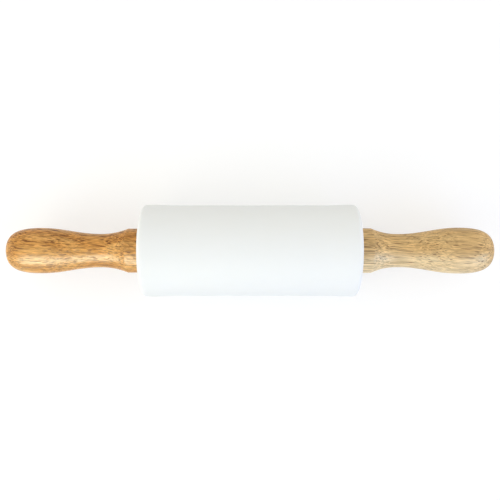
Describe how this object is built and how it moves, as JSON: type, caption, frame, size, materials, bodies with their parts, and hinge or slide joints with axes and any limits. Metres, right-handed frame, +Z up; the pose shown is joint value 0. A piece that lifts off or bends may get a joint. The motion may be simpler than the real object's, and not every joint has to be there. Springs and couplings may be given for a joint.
{
  "type": "silicone rolling pin",
  "caption": "Small rolling pin: a white silicone-covered barrel that turns on a steel rod between two turned wooden handles.",
  "frame": {"origin": "on the pin's axis, at the middle of the barrel and of the whole length", "axes": "+X along the pin's axis towards the right-hand handle, +Z up, +Y away from the user"},
  "size_m": [0.227, 0.043, 0.043],
  "materials": {
    "silicone": "matt white moulded silicone",
    "core_plastic": "moulded, off-white",
    "bearing_plastic": "natural, smooth",
    "rod_steel": "bright drawn, threaded ends",
    "insert_brass": "turned",
    "warm_wood": "turned, satin, orange-brown",
    "pale_wood": "turned, satin, yellow-beige"
  },
  "bodies": {
    "handles": {"axle_rod": "rod_steel", "left_washer": "bearing_plastic", "right_washer": "bearing_plastic", "left_insert": "insert_brass", "right_insert": "insert_brass", "left_handle": "warm_wood", "right_handle": "pale_wood"},
    "barrel": {"silicone_sleeve": "silicone", "core_tube": "core_plastic", "left_end_plug": "core_plastic", "right_end_plug": "core_plastic", "left_bush": "bearing_plastic", "right_bush": "bearing_plastic"}
  },
  "joints": [
    {"name": "barrel_spin", "type": "hinge", "parent": "handles", "child": "barrel", "pos_m": [0, 0, 0], "axis": [1, 0, 0], "continuous": true}
  ]
}
